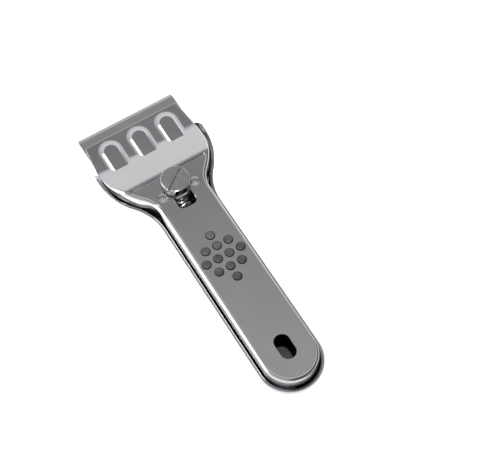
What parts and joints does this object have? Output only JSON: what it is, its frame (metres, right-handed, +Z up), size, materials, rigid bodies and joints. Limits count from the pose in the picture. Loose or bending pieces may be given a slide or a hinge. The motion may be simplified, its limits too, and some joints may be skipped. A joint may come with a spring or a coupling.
{
  "type": "razor blade scraper",
  "caption": "Hand scraper of pressed polished steel with a double-edged razor blade that draws back into the head when its slotted locking screw is loosened.",
  "frame": {"origin": "on the table under the axis of the locking screw, blade pushed out", "axes": "+X towards the cutting edge, +Y towards the left side seen from the handle with the screw up, +Z up"},
  "size_m": [0.1366, 0.0482, 0.0172],
  "materials": {
    "shell_plating": "pressed steel sheet, bright plated and polished",
    "grip_rubber": "matt dark grey rubber",
    "blade_steel": "ground carbon steel with a lighter ground bevel",
    "screw_steel": "nickel-plated steel, fine turned face",
    "plated_steel": "zinc-plated mild steel",
    "spring_steel": "drawn spring wire"
  },
  "bodies": {
    "shell": {"top_shell": "shell_plating", "bottom_shell": "shell_plating", "grip_pad": "grip_rubber", "return_spring": "spring_steel", "spring_anchor": "plated_steel", "left_runner": "plated_steel", "right_runner": "plated_steel", "left_stay": "plated_steel", "right_stay": "plated_steel", "middle_stay": "plated_steel", "end_stay": "plated_steel"},
    "carriage": {"blade_carriage": "plated_steel", "blade": "blade_steel", "centre_stud": "plated_steel", "left_stud": "plated_steel", "right_stud": "plated_steel", "guide_bush": "plated_steel"},
    "washer": {"screw_washer": "screw_steel"},
    "screw": {"locking_screw": "screw_steel"}
  },
  "joints": [
    {"name": "blade_slide", "type": "slide", "parent": "shell", "child": "carriage", "axis": [1, 0, 0], "range_m": [-0.007, 0], "deforming": ["return_spring"]},
    {"name": "screw_lift", "type": "slide", "parent": "carriage", "child": "washer", "axis": [0, 0, 1], "range_m": [0, 0.0014]},
    {"name": "screw_turn", "type": "hinge", "parent": "washer", "child": "screw", "pos_m": [0, 0, 0], "axis": [0, 0, 1], "range_deg": [0, 900]}
  ],
  "couplings": [
    {"joint": "screw_turn", "follows": "screw_lift", "rad_per_m": 8976}
  ]
}
